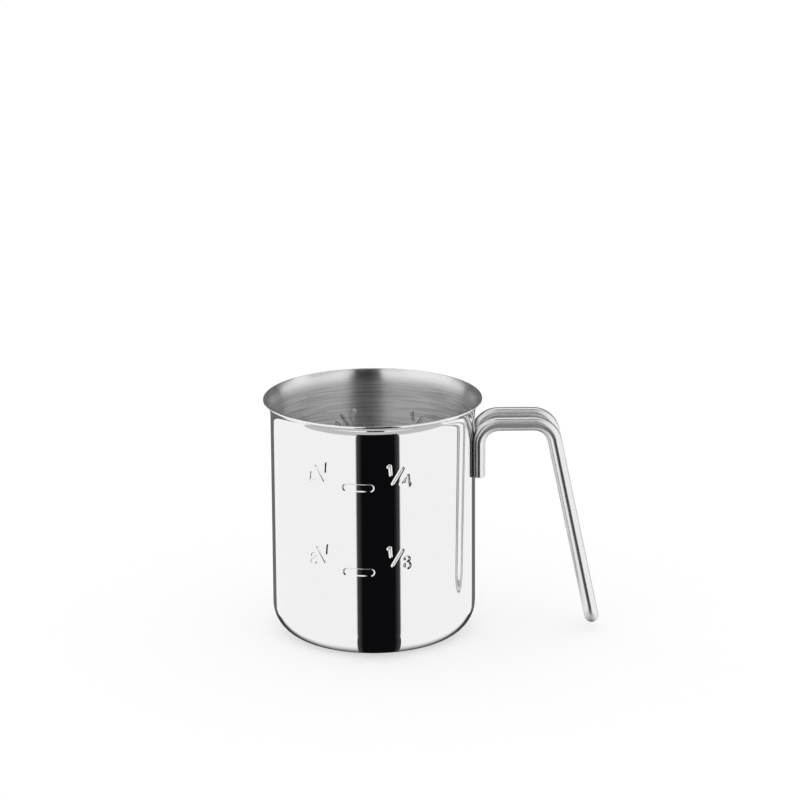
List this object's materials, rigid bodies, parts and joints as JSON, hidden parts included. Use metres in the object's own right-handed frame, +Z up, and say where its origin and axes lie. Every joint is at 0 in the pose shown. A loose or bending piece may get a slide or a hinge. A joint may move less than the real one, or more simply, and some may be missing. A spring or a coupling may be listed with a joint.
{
  "type": "measuring jug",
  "caption": "Small stainless steel measuring jug: a drawn cup with a flared pouring lip, a pressed litre scale and a hairpin wire handle welded to its wall.",
  "frame": {"origin": "on the cup's axis, in the plane of the ring that the jug stands on", "axes": "+Z up along the cup's axis, +X along the handle"},
  "size_m": [0.1207, 0.0784, 0.0875],
  "materials": {
    "cup_steel": "stainless sheet, mirror polished outside and brushed round the inside",
    "wire_steel": "polished stainless wire",
    "weld_steel": "resistance weld spots, hidden between the wall and the legs"
  },
  "bodies": {
    "root": {"cup": "cup_steel", "handle": "wire_steel", "handle_welds": "weld_steel"}
  },
  "joints": []
}
